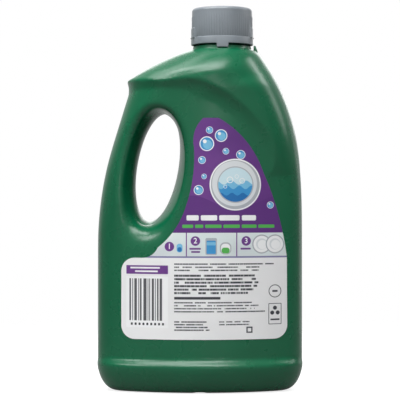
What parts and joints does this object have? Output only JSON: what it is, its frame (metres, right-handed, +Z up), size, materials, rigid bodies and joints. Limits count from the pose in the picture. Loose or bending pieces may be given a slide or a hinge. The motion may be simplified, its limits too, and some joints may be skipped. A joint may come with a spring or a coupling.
{
  "type": "dishwasher gel bottle",
  "caption": "Blown plastic gel bottle with a through hand hole, oval base band, domed shoulder and a squeeze-and-turn screw cap over a pour spout.",
  "frame": {"origin": "centre of the body's outline at the plane it stands on", "axes": "+Z up, the printed label faces -Y, the hand hole is on the -X side and the neck on the +X side"},
  "size_m": [0.1548, 0.081, 0.287],
  "materials": {
    "bottle_green": "semi-gloss dark green blown polyethylene",
    "cap_grey": "satin cool grey polypropylene",
    "liner_foam": "white foam",
    "spout_natural": "natural white polyethylene",
    "label_film": "printed film, purple above and light grey below",
    "gel_blue": "clear blue gel"
  },
  "bodies": {
    "bottle": {"bottle": "bottle_green", "pour_spout": "spout_natural", "back_label": "label_film", "gel": "gel_blue"},
    "liner": {"cap_liner": "liner_foam"},
    "cap": {"cap": "cap_grey"}
  },
  "joints": [
    {"name": "cap_rise", "type": "slide", "parent": "bottle", "child": "liner", "axis": [0, 0, 1], "range_m": [0, 0.0091]},
    {"name": "cap_turn", "type": "hinge", "parent": "liner", "child": "cap", "pos_m": [0.0167, 0, 0.259], "axis": [0, 0, 1], "range_deg": [0, 540]}
  ],
  "couplings": [
    {"joint": "cap_rise", "follows": "cap_turn", "m_per_rad": 0.00095493}
  ]
}
